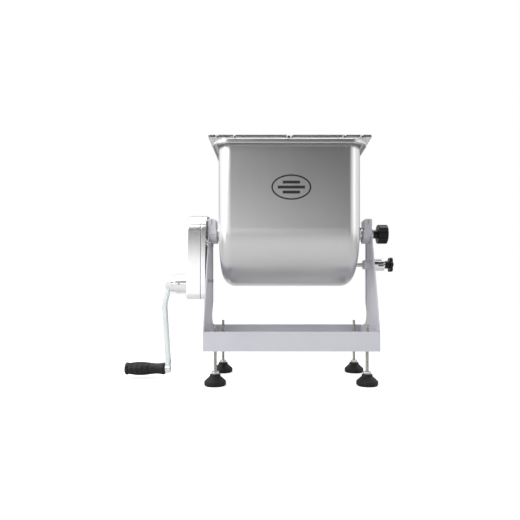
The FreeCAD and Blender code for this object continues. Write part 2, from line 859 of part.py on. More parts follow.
def cut_casing_screws(shape, x_start, x_end, radius):
    for y, z in casing_screw_points:
        shape = shape.cut(cylinder_x(radius, x_start, x_end, y, z))
    return shape


def make_back_plate():
    plate = casing_outline(0.0, plate_outer, plate_inner)
    for y, z in mount_screw_points:
        plate = plate.fuse(cylinder_x(spacer_radius, plate_inner, -frame_end, y, z))
    for y, z in mount_screw_points:
        plate = plate.cut(cylinder_x(mount_screw_radius, -frame_end, plate_outer + 3.0, y, z))
    plate = plate.cut(cylinder_x(shaft_seat_radius, plate_outer, plate_inner))
    plate = plate.cut(cylinder_x(idler_axle_radius, plate_outer, plate_outer + 6.0, 0, idler_height))
    plate = plate.cut(cylinder_x(crank_shaft_radius + running_gap, plate_outer, plate_outer + 7.0,
                                 0, crank_height))
    return cut_casing_screws(plate, plate_outer, plate_inner, casing_screw_radius + 0.1)


def make_gasket():
    ring = casing_outline(0.3, gasket_outer, plate_outer)
    ring = ring.cut(casing_outline(casing_wall, gasket_outer, plate_outer))
    for y, z in casing_screw_points[1:]:
        ring = ring.fuse(cylinder_x(4.3, gasket_outer, plate_outer, y, z))
    return cut_casing_screws(ring.removeSplitter(), gasket_outer, plate_outer,
                             casing_screw_radius + 0.1)


def make_casing_cover():
    cover = casing_outline(0.0, casing_outer, gasket_outer)
    outer_edges = []
    for edge in cover.Edges:
        if all(near(vertex.X, casing_outer) for vertex in edge.Vertexes):
            outer_edges.append(edge)
    cover = cover.makeFillet(casing_edge, outer_edges)
    hollow = casing_outline(casing_wall, casing_web_face, gasket_outer)
    for index, (y, z) in enumerate(casing_screw_points):
        boss = casing_top_boss_radius if index == 0 else casing_boss_radius
        hollow = hollow.cut(cylinder_x(boss, casing_web_face, gasket_outer, y, z))
    cover = cover.cut(hollow)
    cover = cover.fuse(cylinder_x(boss_radius, boss_step, casing_web_face, 0, crank_height))
    nose = Part.makeCone(boss_nose_radius, boss_radius, 3.0, Vector(boss_step - 3.0, 0, crank_height),
                         Vector(1, 0, 0))
    cover = cover.fuse(nose)
    cover = cover.fuse(cylinder_x(boss_nose_radius, boss_outer, boss_step, 0, crank_height))
    shaft_seat = tube_x(shaft_seat_radius, shaft_radius + running_gap, casing_web_face, casing_outer + 9.0)
    axle_seat = cylinder_x(axle_seat_radius, casing_web_face, casing_outer + 7.0, 0, idler_height)
    cover = cover.fuse(shaft_seat).fuse(axle_seat).removeSplitter()
    cover = cover.cut(cylinder_x(shaft_radius + running_gap, casing_outer + 5.0,
                                 casing_outer + 9.0))
    cover = cover.cut(cylinder_x(idler_axle_radius, casing_outer + 2.0, casing_outer + 7.0,
                                 0, idler_height))
    cover = cover.cut(cylinder_x(boss_bore_radius, boss_outer, casing_web_face, 0, crank_height))
    cover = cover.cut(oil_screw_hole())
    for y, z in casing_screw_points:
        cover = cover.cut(cylinder_x(casing_screw_radius, gasket_outer, gasket_outer - 14.0, y, z))
    return cover


def oil_screw_hole():
    return Part.makeCylinder(oil_screw_radius + fixed_gap, boss_radius - boss_bore_radius,
                             Vector(oil_screw_x, -boss_radius - 0.5, crank_height), Vector(0, 1, 0))


def make_oil_screw():
    face = Vector(oil_screw_x, -boss_radius + 0.3, crank_height)
    body = Part.makeCylinder(oil_screw_radius, oil_screw_length, face, Vector(0, 1, 0))
    return body.cut(hexagon(oil_screw_radius, oil_screw_length / 2, face, Vector(0, 1, 0)))


def make_casing_screws():
    screws = []
    for y, z in casing_screw_points:
        seat = Vector(plate_inner, y, z)
        screws.append(socket_screw(seat, Vector(-1, 0, 0), casing_screw_radius - fixed_gap,
                                   casing_screw_length, casing_screw_head_radius,
                                   casing_screw_head_height))
    return Part.makeCompound(screws)


def make_mount_screws():
    screws = []
    for y, z in mount_screw_points:
        seat = Vector(-frame_end + sheet, y, z)
        screws.append(socket_screw(seat, Vector(-1, 0, 0), mount_screw_radius - fixed_gap,
                                   mount_screw_length, mount_screw_head_radius,
                                   mount_screw_head_height))
    return Part.makeCompound(screws)


def make_shaft_bush():
    return tube_x(shaft_seat_radius - fixed_gap, shaft_radius + running_gap, plate_outer, plate_inner)


def make_crank_bush():
    return tube_x(boss_bore_radius - fixed_gap, crank_shaft_radius + running_gap,
                  casing_web_face, boss_outer, 0, crank_height)


def make_idler_axle():
    return cylinder_x(idler_axle_radius - fixed_gap, casing_outer + 2.2, plate_outer + 5.8,
                      0, idler_height)


# Crank: shaft, arm, retaining screw, grip and its pin

def make_crank_shaft():
    shaft = cylinder_x(crank_shaft_radius, hub_inner - shaft_end_length, plate_outer + 6.5, 0, crank_height)
    flat = block(hub_inner - shaft_end_length, hub_inner, -crank_shaft_radius, crank_shaft_radius,
                 crank_height + crank_shaft_radius - shaft_flat_depth, crank_height + crank_shaft_radius)
    thread = cylinder_x(crank_screw_radius, hub_inner - shaft_end_length,
                        hub_inner + shaft_end_length, 0, crank_height)
    return shaft.cut(flat).cut(thread)


def make_crank_arm():
    half = arm_thickness / 2
    top_x = (hub_inner + hub_outer) / 2
    spine = ((top_x, crank_height), (arm_bend_x, arm_bend_height), (arm_foot_x, arm_knee_height),
             (arm_foot_x, grip_height))
    left = []
    right = []
    for x, z in spine:
        left.append(Vector(x - half, -arm_width / 2, z))
        right.append(Vector(x + half, -arm_width / 2, z))
    right.reverse()
    outline = Part.makePolygon(left + right + [left[0]])
    bar = Part.Face(outline).extrude(Vector(0, arm_width, 0))
    bends = []
    for edge in bar.Edges:
        if all(near(vertex.Z, arm_bend_height) for vertex in edge.Vertexes):
            bends.append(edge)
    bar = bar.makeFillet(arm_bend_radius, bends)
    long_edges = []
    for edge in bar.Edges:
        tallest = max(vertex.Z for vertex in edge.Vertexes) - min(vertex.Z for vertex in edge.Vertexes)
        if tallest > 5.0:
            long_edges.append(edge)
    bar = bar.makeFillet(arm_edge_radius, long_edges)
    hub = cylinder_x(hub_radius, hub_outer, hub_inner, 0, crank_height)
    hub_rim = []
    for edge in hub.Edges:
        if all(near(vertex.X, hub_outer) for vertex in edge.Vertexes):
            hub_rim.append(edge)
    hub = hub.makeFillet(hub_edge_radius, hub_rim)
    eye = cylinder_x(arm_eye_radius, arm_foot_x - half, arm_foot_x + half, 0, grip_height)
    arm = joined([bar, hub, eye])
    bore = cylinder_x(crank_shaft_radius + fixed_gap, hub_inner - shaft_end_length - 0.2,
                      hub_inner, 0, crank_height)
    flat = block(hub_inner - shaft_end_length - 0.2, hub_inner, -crank_shaft_radius, crank_shaft_radius,
                 crank_height + crank_shaft_radius - shaft_flat_depth + fixed_gap,
                 crank_height + crank_shaft_radius + 1.0)
    arm = arm.cut(bore.cut(flat))
    arm = arm.cut(cylinder_x(crank_screw_radius + screw_play, hub_outer, hub_inner, 0, crank_height))
    arm = arm.cut(Part.makeCone(crank_screw_head_radius + 0.1, crank_screw_radius + screw_play, 3.0,
                                Vector(hub_outer, 0, crank_height), Vector(1, 0, 0)))
    return arm.cut(cylinder_x(grip_pin_radius - 0.5, arm_foot_x - half, arm_foot_x + half,
                              0, grip_height))


def make_crank_screw():
    face = Vector(hub_outer + 0.1, 0, crank_height)
    head = Part.makeCone(crank_screw_head_radius, crank_screw_radius, 2.9, face, Vector(1, 0, 0))
    shank = cylinder_x(crank_screw_radius - fixed_gap, face.x, hub_inner + 6.0, 0, crank_height)
    socket = hexagon(4.0, 2.0, face, Vector(1, 0, 0))
    return head.fuse(shank).cut(socket)


def make_grip():
    inner_face = grip_inner
    outer = [Vector(inner_face - distance, radius, 0) for distance, radius in grip_profile]
    spline = Part.BSplineCurve()
    spline.interpolate(outer[2:10])
    axis_start = Vector(outer[0].x, 0, 0)
    axis_end = Vector(outer[-1].x, 0, 0)
    edges = [Part.makeLine(axis_start, outer[0]),
             Part.makeLine(outer[0], outer[1]),
             Part.makeLine(outer[1], outer[2]),
             spline.toShape(),
             Part.makeLine(outer[9], outer[10]),
             Part.makeLine(outer[10], outer[11]),
             Part.makeLine(outer[11], axis_end),
             Part.makeLine(axis_end, axis_start)]
    body = Part.Face(Part.Wire(edges)).revolve(Vector(0, 0, 0), Vector(1, 0, 0), 360)
    body.translate(Vector(0, 0, grip_height))
    body = body.cut(cylinder_x(grip_pin_radius + running_gap, grip_outer - 1.0, grip_inner + 1.0,
                               0, grip_height))
    return body.cut(cylinder_x(grip_recess_radius, grip_outer - 1.0, grip_outer + grip_recess_depth,
                               0, grip_height))


def make_grip_pin():
    half = arm_thickness / 2
    pin = cylinder_x(grip_pin_radius, grip_outer + 3.0, arm_foot_x - half, 0, grip_height)
    head = cylinder_x(grip_pin_head_radius, grip_outer + 0.6, grip_outer + grip_recess_depth - 0.4,
                      0, grip_height)
    rivet = cylinder_x(grip_pin_radius - 0.52, arm_foot_x - half, arm_foot_x + half + 1.2,
                       0, grip_height)
    return joined([pin, head, rivet])


# Clamp knob and the end plate that it screws through

def cut_end_plate_holes(shape):
    for z_sign in (-1.0, 1.0):
        shape = shape.cut(cylinder_x(end_plate_screw_radius, head_outer - 6.0, end_plate_outer, 0,
                                     axis_height + z_sign * end_plate_screw_offset))
    return shape


def make_end_plate():
    plate = tube_x(end_plate_radius, knob_stud_radius + running_gap, head_outer, end_plate_outer)
    return cut_end_plate_holes(plate)


def make_end_plate_screws():
    screws = []
    for z_sign in (-1.0, 1.0):
        seat = Vector(end_plate_outer, 0, axis_height + z_sign * end_plate_screw_offset)
        screws.append(socket_screw(seat, Vector(-1, 0, 0), end_plate_screw_radius - fixed_gap,
                                   8.0, 2.5, 1.8))
    return Part.makeCompound(screws)


def fluted_disc(radius, x_start, x_end, flutes, flute_radius, flute_circle):
    disc = cylinder_x(radius, x_start, x_end)
    disc = disc.makeFillet(2.0, rim_edges(disc))
    for index in range(flutes):
        angle = 2 * math.pi * (index + 0.5) / flutes
        disc = disc.cut(cylinder_x(flute_radius, x_start, x_end, flute_circle * math.cos(angle),
                                   axis_height + flute_circle * math.sin(angle)))
    return disc


def rim_edges(disc):
    rims = []
    for edge in disc.Edges:
        if edge.isClosed():
            rims.append(edge)
    return rims


def make_knob_head():
    body = fluted_disc(knob_radius, knob_neck_outer, knob_outer, knob_flutes, knob_flute_radius,
                       knob_radius + 1.8)
    neck = cylinder_x(knob_neck_radius, knob_neck_inner, knob_neck_outer)
    head = joined([body, neck])
    return head.cut(cylinder_x(knob_stud_radius + fixed_gap, knob_neck_inner, knob_neck_outer + 10.0))


def make_knob_stud():
    return cylinder_x(knob_stud_radius, knob_stud_tip, knob_neck_outer + 9.5)


# Index plunger

def make_plunger_bush():
    """Guide bush: a collar inside the upright and a spigot through it."""
    collar = cylinder_x(plunger_bush_radius, plunger_bush_inner, frame_end - sheet, 0, plunger_height)
    spigot = cylinder_x(plunger_spigot_radius, frame_end - sheet, frame_end, 0, plunger_height)
    bush = joined([collar, spigot])
    return bush.cut(cylinder_x(plunger_radius + running_gap, plunger_bush_inner, frame_end,
                               0, plunger_height))


def make_plunger_housing():
    """Sleeve with a spring chamber, an inner wall for the spring, and a slot for the cross pin."""
    body = cylinder_x(housing_radius, frame_end, housing_outer, 0, plunger_height)
    body = body.makeFillet(1.2, rim_edges(body))
    body = body.cut(cylinder_x(housing_bore_radius, frame_end, spring_wall[0], 0, plunger_height))
    body = body.cut(cylinder_x(plunger_radius + running_gap, spring_wall[0], spring_wall[1],
                               0, plunger_height))
    body = body.cut(cylinder_x(housing_bore_radius, spring_wall[1], housing_outer, 0, plunger_height))
    half = housing_slot_height / 2
    slot = block(housing_slot[0] + half, housing_slot[1] - half, -housing_radius, housing_radius,
                 plunger_height - half, plunger_height + half)
    for x in (housing_slot[0] + half, housing_slot[1] - half):
        slot = slot.fuse(Part.makeCylinder(half, 2 * housing_radius,
                                           Vector(x, -housing_radius, plunger_height), Vector(0, 1, 0)))
    return body.cut(slot)


def make_plunger_pin():
    pin = cylinder_x(plunger_radius, plunger_tip + 1.5, plunger_knob_inner + 6.0, 0, plunger_height)
    nose = Part.makeCone(plunger_radius - 1.5, plunger_radius, 1.5,
                         Vector(plunger_tip, 0, plunger_height), Vector(1, 0, 0))
    collar = cylinder_x(plunger_collar_radius, plunger_collar[0], plunger_collar[1],
                        0, plunger_height)
    pin = joined([pin, nose, collar])
    return pin.cut(cross_pin_solid(cross_pin_radius, 14.0))


def cross_pin_solid(radius, half_length):
    return Part.makeCylinder(radius, 2 * half_length,
                             Vector(cross_pin_x, -half_length, plunger_height), Vector(0, 1, 0))


def make_cross_pin():
    return cross_pin_solid(cross_pin_radius - fixed_gap, 14.0)


def make_plunger_knob():
    lobes = cylinder_x(plunger_knob_lobe_circle, plunger_knob_inner, plunger_knob_outer,
                       0, plunger_height)
    for index in range(plunger_knob_lobes):
        angle = 2 * math.pi * index / plunger_knob_lobes
        lobes = lobes.fuse(cylinder_x(plunger_knob_lobe_radius, plunger_knob_inner,
                                      plunger_knob_outer,
                                      plunger_knob_lobe_circle * math.cos(angle),
                                      plunger_height + plunger_knob_lobe_circle * math.sin(angle)))
    neck = cylinder_x(plunger_knob_neck_radius, housing_outer + 0.4, plunger_knob_inner,
                      0, plunger_height)
    knob = joined([lobes, neck])
    return knob.cut(cylinder_x(plunger_radius + fixed_gap, housing_outer + 0.4,
                               plunger_knob_inner + 6.1, 0, plunger_height))


def make_plunger_spring():
    """Shown pressed, as it is with the plunger drawn back."""
    start = plunger_collar[1] + spring_wire_radius + 0.1
    length = spring_wall[0] - spring_wire_radius - 0.1 - start
    coil = Part.makeHelix(length / spring_turns, length, spring_radius)
    section = Part.Wire([Part.Circle(Vector(spring_radius, 0, 0), Vector(0, 1, 0),
                                     spring_wire_radius).toShape()])
    wire = Part.Wire(coil.Edges).makePipeShell([section], True, True)
    wire.Placement = FreeCAD.Placement(Vector(start, 0, plunger_height),
                                       FreeCAD.Rotation(Vector(0, 0, 1), Vector(1, 0, 0)))
    return wire


# Levelling feet

def make_foot_pad(x, y):
    profile = [Vector(0, 0, 0), Vector(pad_radius - 2.0, 0, 0), Vector(pad_radius, 0, pad_rim_low),
               Vector(pad_radius, 0, pad_rim_high), Vector(pad_collar_radius, 0, pad_collar_low),
               Vector(pad_collar_radius, 0, pad_top), Vector(0, 0, pad_top), Vector(0, 0, 0)]
    pad = Part.Face(Part.makePolygon(profile)).revolve(Vector(0, 0, 0), Vector(0, 0, 1), 360)
    pad.translate(Vector(x, y, 0))
    return pad.cut(cylinder_z(stud_radius + fixed_gap, pad_top - 14.0, pad_top, x, y))


def make_foot_stud(x, y):
    """Threaded stud with the nut that locks it to the pad."""
    stud = cylinder_z(stud_radius, pad_top - 13.8, stud_top, x, y)
    tips = []
    for edge in stud.Edges:
        if edge.isClosed() and near(edge.Vertexes[0].Z, stud_top):
            tips.append(edge)
    nut = hexagon(foot_nut_flats, foot_nut_height, Vector(x, y, pad_top), Vector(0, 0, 1))
    nut = nut.cut(cylinder_z(stud_radius + fixed_gap, pad_top, pad_top + foot_nut_height, x, y))
    return Part.makeCompound([stud.makeChamfer(0.8, tips), nut])


def save(name, shape):
    placed = shape.copy()
    placed.translate(Vector(row_shift_x, 0, 0))
    if not placed.isValid():
        print("not valid:", name)
    placed.exportStep("parts/" + name + ".step")


def main():
    os.makedirs("parts", exist_ok=True)
    save("base_frame", make_base_frame())
    save("foot_corner_plates", make_corner_plates())
    save("frame_nuts", make_frame_nuts())
    save("left_upright", make_left_upright())
    save("right_upright", cut_end_plate_holes(make_right_upright()))
    save("upright_bolts", make_upright_bolts())
    save("right_bearing_saddle", cut_end_plate_holes(make_bearing_saddle()))
    save("left_bearing_saddle", mirrored(make_bearing_saddle()))
    save("right_bearing_cap", cut_end_plate_holes(make_bearing_cap()))
    save("left_bearing_cap", mirrored(make_bearing_cap()))
    save("bearing_cap_screws", make_cap_screws())
    save("bearing_bushes", make_bearing_bushes())
    save("tank_shell", make_tank_shell())
    save("left_trunnion", make_trunnion(tank_left, -1.0, trunnion_left_thickness))
    save("right_trunnion", make_trunnion(tank_right, 1.0, trunnion_right_thickness))
    save("trunnion_screws", make_trunnion_screws())
    save("trunnion_nuts", make_trunnion_nuts())
    save("shaft_seals", make_shaft_seals())
    save("index_lugs", make_index_lugs())
    save("lid_plate", make_lid_plate())
    save("paddle_shaft", make_paddle_shaft())
    save("paddle_arms", make_paddle_arms())
    save("paddle_blades", make_paddle_blades())
    save("main_gear", make_main_gear())
    save("main_gear_key", make_main_gear_key())
    save("idler_pinion", make_idler_pinion())
    save("idler_wheel", make_idler_wheel())
    save("idler_axle", make_idler_axle())
    save("crank_pinion", make_crank_pinion())
    save("gearbox_back_plate", make_back_plate())
    save("gearbox_gasket", make_gasket())
    save("gearbox_cover", make_casing_cover())
    save("gearbox_cover_screws", make_casing_screws())
    save("gearbox_mount_screws", make_mount_screws())
    save("paddle_shaft_bush", make_shaft_bush())
    save("crank_shaft_bush", make_crank_bush())
    save("oil_screw", make_oil_screw())
    save("crank_shaft", make_crank_shaft())
    save("crank_arm", make_crank_arm())
    save("crank_screw", make_crank_screw())
    save("grip", make_grip())
    save("grip_pin", make_grip_pin())
    save("end_plate", make_end_plate())
    save("end_plate_screws", make_end_plate_screws())
    save("clamp_knob", make_knob_head())
    save("clamp_knob_stud", make_knob_stud())
    save("plunger_bush", make_plunger_bush())
    save("plunger_housing", make_plunger_housing())
    save("plunger_pin", make_plunger_pin())
    save("plunger_cross_pin", make_cross_pin())
    save("plunger_knob", make_plunger_knob())
    save("plunger_spring", make_plunger_spring())
    for foot, (x, y) in zip(foot_names, foot_places):
        save(foot + "_foot_pad", make_foot_pad(x, y))
        save(foot + "_foot_stud", make_foot_stud(x, y))


main()
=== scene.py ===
import bmesh
import bpy
import json
import math
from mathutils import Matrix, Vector

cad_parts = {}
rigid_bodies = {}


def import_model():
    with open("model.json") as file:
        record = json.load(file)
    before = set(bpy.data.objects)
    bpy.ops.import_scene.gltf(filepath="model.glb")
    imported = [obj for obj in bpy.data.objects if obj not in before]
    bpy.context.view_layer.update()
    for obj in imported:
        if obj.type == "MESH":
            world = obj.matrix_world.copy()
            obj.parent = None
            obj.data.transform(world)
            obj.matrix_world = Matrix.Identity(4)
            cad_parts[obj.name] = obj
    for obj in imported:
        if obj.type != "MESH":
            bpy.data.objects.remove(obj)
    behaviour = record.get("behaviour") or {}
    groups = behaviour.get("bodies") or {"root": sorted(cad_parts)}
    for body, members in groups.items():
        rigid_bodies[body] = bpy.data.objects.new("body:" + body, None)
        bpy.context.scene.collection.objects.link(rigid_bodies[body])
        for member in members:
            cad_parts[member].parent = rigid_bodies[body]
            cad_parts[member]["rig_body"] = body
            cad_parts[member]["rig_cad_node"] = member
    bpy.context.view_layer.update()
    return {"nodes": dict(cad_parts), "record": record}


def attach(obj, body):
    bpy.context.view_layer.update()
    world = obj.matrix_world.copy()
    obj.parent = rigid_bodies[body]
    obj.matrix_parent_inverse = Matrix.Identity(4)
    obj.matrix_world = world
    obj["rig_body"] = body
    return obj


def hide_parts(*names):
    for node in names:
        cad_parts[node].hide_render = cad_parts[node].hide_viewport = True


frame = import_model()
nodes = frame["nodes"]
print("frame loaded,", len(nodes), "nodes")

mm = 0.001
standMiddle = 0.0764


# Small helpers for working on one piece at a time

def clearSelection():
    active = bpy.context.view_layer.objects.active
    if active and active.mode != "OBJECT":
        bpy.ops.object.mode_set(mode="OBJECT")
    bpy.ops.object.select_all(action="DESELECT")


def pick(piece):
    clearSelection()
    piece.select_set(True)
    bpy.context.view_layer.objects.active = piece


def openMesh(piece):
    pick(piece)
    bpy.ops.object.mode_set(mode="EDIT")
    bpy.ops.mesh.select_all(action="DESELECT")
    return bmesh.from_edit_mesh(piece.data)


def closeMesh():
    bpy.ops.object.mode_set(mode="OBJECT")


def selectFaces(piece, test):
    mesh = bmesh.from_edit_mesh(piece.data)
    bpy.ops.mesh.select_all(action="DESELECT")
    bpy.ops.mesh.select_mode(type="FACE")
    for face in mesh.faces:
        face.select_set(test(face))
    bmesh.update_edit_mesh(piece.data)


def selectEdges(piece, test):
    mesh = bmesh.from_edit_mesh(piece.data)
    bpy.ops.mesh.select_all(action="DESELECT")
    bpy.ops.mesh.select_mode(type="EDGE")
    for edge in mesh.edges:
        edge.select_set(test(edge))
    bmesh.update_edit_mesh(piece.data)


def applyModifier(piece, kind, **values):
    pick(piece)
    modifier = piece.modifiers.new(kind.title(), kind)
    for name, value in values.items():
        setattr(modifier, name, value)
    bpy.ops.object.modifier_apply(modifier=modifier.name)


# Puts the piece's place into its mesh and smooths it up to the angle
def settle(piece, angle=35):
    pick(piece)
    bpy.ops.object.transform_apply(location=True, rotation=True, scale=True)
    bpy.ops.object.shade_smooth_by_angle(angle=math.radians(angle))


def join(pieces, name):
    pick(pieces[0])
    for piece in pieces:
        piece.select_set(True)
    bpy.ops.object.join()
    pieces[0].name = name
    return pieces[0]


# Machine millimetres, X measured from the middle of the stand, to scene metres
def at(x, y, z):
    return Vector((x * mm + standMiddle, y * mm, z * mm))


# Lathe: rings of the given (distance, radius) pairs in mm, extruded one after another
def turnedProfile(name, profile, sides, start, direction, capEnds=True):
    clearSelection()
    bpy.ops.mesh.primitive_circle_add(vertices=sides, radius=profile[0][1] * mm,
                                      location=(0, 0, profile[0][0] * mm))
    piece = bpy.context.object
    piece.name = name
    bpy.ops.object.transform_apply(location=True)
    bpy.ops.object.mode_set(mode="EDIT")
    bpy.ops.mesh.select_mode(type="EDGE")
    bpy.ops.mesh.select_all(action="SELECT")
    if capEnds:
        bpy.ops.mesh.edge_face_add()
        bpy.ops.mesh.select_mode(type="FACE")
    for (fromPlace, fromRadius), (toPlace, toRadius) in zip(profile, profile[1:]):
        grow = toRadius / fromRadius
        bpy.ops.mesh.extrude_region_move(
            TRANSFORM_OT_translate={"value": (0, 0, (toPlace - fromPlace) * mm)})
        bpy.ops.transform.resize(value=(grow, grow, 1), center_override=(0, 0, toPlace * mm))
    bpy.ops.mesh.select_all(action="SELECT")
    bpy.ops.mesh.normals_make_consistent(inside=False)
    closeMesh()
    piece.rotation_euler = Vector(direction).to_track_quat("Z", "Y").to_euler()
    piece.location = start
    bpy.ops.object.transform_apply(location=True, rotation=True, scale=True)
    return piece


# Bevelled box between two corners given in machine millimetres
def blockPiece(name, low, high, edge):
    low, high = at(*low), at(*high)
    clearSelection()
    bpy.ops.mesh.primitive_cube_add(size=1, location=(low + high) / 2)
    piece = bpy.context.object
    piece.name = name
    piece.scale = high - low
    bpy.ops.object.transform_apply(location=True, rotation=True, scale=True)
    if edge > 0:
        applyModifier(piece, "BEVEL", width=edge * mm, segments=3, limit_method="ANGLE",
                      angle_limit=math.radians(40))
    return piece


def finished(piece, body, slotName, material, *nodeNames):
    piece.data.materials.clear()
    piece.data.materials.append(material)
    for face in piece.data.polygons:
        face.material_index = 0
    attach(piece, body)
    if nodeNames:
        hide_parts(*nodeNames)
    return piece


copying = {"weld": 0.000005, "flatAngle": 0.3, "normalWeight": 60}


# A welded copy of a CAD node with its sharp edges broken
def copyOfNode(nodeName, pieceName, edge=0.5 * mm, segments=2, sharp=28, smooth=40):
    source = nodes[nodeName]
    piece = source.copy()
    piece.data = source.data.copy()
    piece.name = pieceName
    piece.parent = None
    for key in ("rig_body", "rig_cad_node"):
        if key in piece:
            del piece[key]
    bpy.context.scene.collection.objects.link(piece)
    openMesh(piece)
    bpy.ops.mesh.customdata_custom_splitnormals_clear()
    bpy.ops.mesh.select_all(action="SELECT")
    bpy.ops.mesh.remove_doubles(threshold=copying["weld"])
    bpy.ops.mesh.dissolve_limited(angle_limit=math.radians(copying["flatAngle"]))
    closeMesh()
    if edge > 0:
        applyModifier(piece, "BEVEL", width=edge, segments=segments, limit_method="ANGLE",
                      angle_limit=math.radians(sharp), use_clamp_overlap=False,
                      harden_normals=False)
    settle(piece, smooth)
    applyModifier(piece, "WEIGHTED_NORMAL", keep_sharp=True,
                  weight=copying["normalWeight"])
    return piece


# Node groups shared by the materials

def groupSockets(group, inputs, outputs):
    for name, kind, value in inputs:
        socket = group.interface.new_socket(name=name, in_out="INPUT", socket_type=kind)
        if value is not None:
            socket.default_value = value
    for name, kind in outputs:
        group.interface.new_socket(name=name, in_out="OUTPUT", socket_type=kind)


# Noise drawn out along the piece: brush marks, casting skin, paint mottle
def makeGrainGroup():
    group = bpy.data.node_groups.new("grain", "ShaderNodeTree")
    groupSockets(group, [("Vector", "NodeSocketVector", None),
                         ("Stretch", "NodeSocketVector", (1.0, 1.0, 1.0)),
                         ("Low", "NodeSocketFloat", 0.3), ("High", "NodeSocketFloat", 0.7)],
                 [("Value", "NodeSocketFloat")])
    tree, links = group.nodes, group.links
    start = tree.new("NodeGroupInput")
    end = tree.new("NodeGroupOutput")
    scale = tree.new("ShaderNodeVectorMath")
    scale.operation = "MULTIPLY"
    noise = tree.new("ShaderNodeTexNoise")
    noise.inputs["Scale"].default_value = 1.0
    noise.inputs["Detail"].default_value = 3.0
    noise.inputs["Roughness"].default_value = 0.6
    spread = tree.new("ShaderNodeMapRange")
    links.new(start.outputs["Vector"], scale.inputs[0])
    links.new(start.outputs["Stretch"], scale.inputs[1])
    links.new(scale.outputs[0], noise.inputs["Vector"])
    links.new(noise.outputs["Fac"], spread.inputs["Value"])
    links.new(start.outputs["Low"], spread.inputs["From Min"])
    links.new(start.outputs["High"], spread.inputs["From Max"])
    links.new(spread.outputs["Result"], end.inputs["Value"])
    return group


# Scattered fine spots: dust, pores and small dents
def makeSpeckGroup():
    group = bpy.data.node_groups.new("specks", "ShaderNodeTree")
    groupSockets(group, [("Vector", "NodeSocketVector", None),
                         ("Scale", "NodeSocketFloat", 400.0), ("Size", "NodeSocketFloat", 0.2)],
                 [("Mask", "NodeSocketFloat")])
    tree, links = group.nodes, group.links
    start = tree.new("NodeGroupInput")
    end = tree.new("NodeGroupOutput")
    cells = tree.new("ShaderNodeTexVoronoi")
    spread = tree.new("ShaderNodeMapRange")
    spread.inputs["From Min"].default_value = 0.0
    spread.inputs["To Min"].default_value = 1.0
    spread.inputs["To Max"].default_value = 0.0
    links.new(start.outputs["Vector"], cells.inputs["Vector"])
    links.new(start.outputs["Scale"], cells.inputs["Scale"])
    links.new(cells.outputs["Distance"], spread.inputs["Value"])
    links.new(start.outputs["Size"], spread.inputs["From Max"])
    links.new(spread.outputs["Result"], end.inputs["Mask"])
    return group


grainGroup = makeGrainGroup()
speckGroup = makeSpeckGroup()


# A material under construction: one Principled shader fed by shared groups
class Finish:
    def __init__(self, name, **values):
        self.material = bpy.data.materials.new(name)
        self.material.use_nodes = True
        self.tree = self.material.node_tree
        self.shader = self.tree.nodes["Principled BSDF"]
        self.place = self.tree.nodes.new("ShaderNodeTexCoord").outputs["Object"]
        for socket, value in values.items():
            self.shader.inputs[socket.replace("_", " ")].default_value = value

    def link(self, output, nodeInput):
        self.tree.links.new(output, nodeInput)

    def grain(self, stretch, low=0.3, high=0.7):
        node = self.tree.nodes.new("ShaderNodeGroup")
        node.node_tree = grainGroup
        node.inputs["Stretch"].default_value = stretch
        node.inputs["Low"].default_value = low
        node.inputs["High"].default_value = high
        self.link(self.place, node.inputs["Vector"])
        return node.outputs["Value"]

    def specks(self, scale, size):
        node = self.tree.nodes.new("ShaderNodeGroup")
        node.node_tree = speckGroup
        node.inputs["Scale"].default_value = scale
        node.inputs["Size"].default_value = size
        self.link(self.place, node.inputs["Vector"])
        return node.outputs["Mask"]

    def blendColour(self, factor, first, second):
        mix = self.tree.nodes.new("ShaderNodeMix")
        mix.data_type = "RGBA"
        mix.inputs["A"].default_value = (*first, 1)
        mix.inputs["B"].default_value = (*second, 1)
        self.link(factor, mix.inputs["Factor"])
        return mix.outputs["Result"]

    def blendColours(self, factor, first, second):
        mix = self.tree.nodes.new("ShaderNodeMix")
        mix.data_type = "RGBA"
        mix.inputs["B"].default_value = (*second, 1)
        self.link(first, mix.inputs["A"])
        self.link(factor, mix.inputs["Factor"])
        return mix.outputs["Result"]

    def span(self, value, low, high):
        spread = self.tree.nodes.new("ShaderNodeMapRange")
        spread.inputs["To Min"].default_value = low
        spread.inputs["To Max"].default_value = high
        self.link(value, spread.inputs["Value"])
        return spread.outputs["Result"]

    def add(self, first, second, share):
        mix = self.tree.nodes.new("ShaderNodeMix")
        mix.data_type = "FLOAT"
        mix.inputs["Factor"].default_value = share
        self.link(first, mix.inputs["A"])
        self.link(second, mix.inputs["B"])
        return mix.outputs["Result"]

    def relief(self, height, strength, distance):
        bump = self.tree.nodes.new("ShaderNodeBump")
        bump.inputs["Strength"].default_value = strength
        bump.inputs["Distance"].default_value = distance
        self.link(height, bump.inputs["Height"])
        self.link(bump.outputs["Normal"], self.shader.inputs["Normal"])

    def colour(self, output):
        self.link(output, self.shader.inputs["Base Color"])

    def roughness(self, output):
        self.link(output, self.shader.inputs["Roughness"])


# Finishes

def makeFramePaint():
    finish = Finish("framePaint", Metallic=0.0, Coat_Weight=0.25, Coat_Roughness=0.25)
    mottle = finish.grain((9, 9, 9))
    orangePeel = finish.grain((420, 420, 420))
    dust = finish.specks(260, 0.09)
    base = finish.blendColour(mottle, (0.640, 0.640, 0.700), (0.690, 0.690, 0.745))
    finish.colour(finish.blendColours(dust, base, (0.58, 0.58, 0.62)))
    finish.roughness(finish.span(orangePeel, 0.34, 0.44))
    finish.relief(orangePeel, 0.12, 0.0006)
    return finish.material


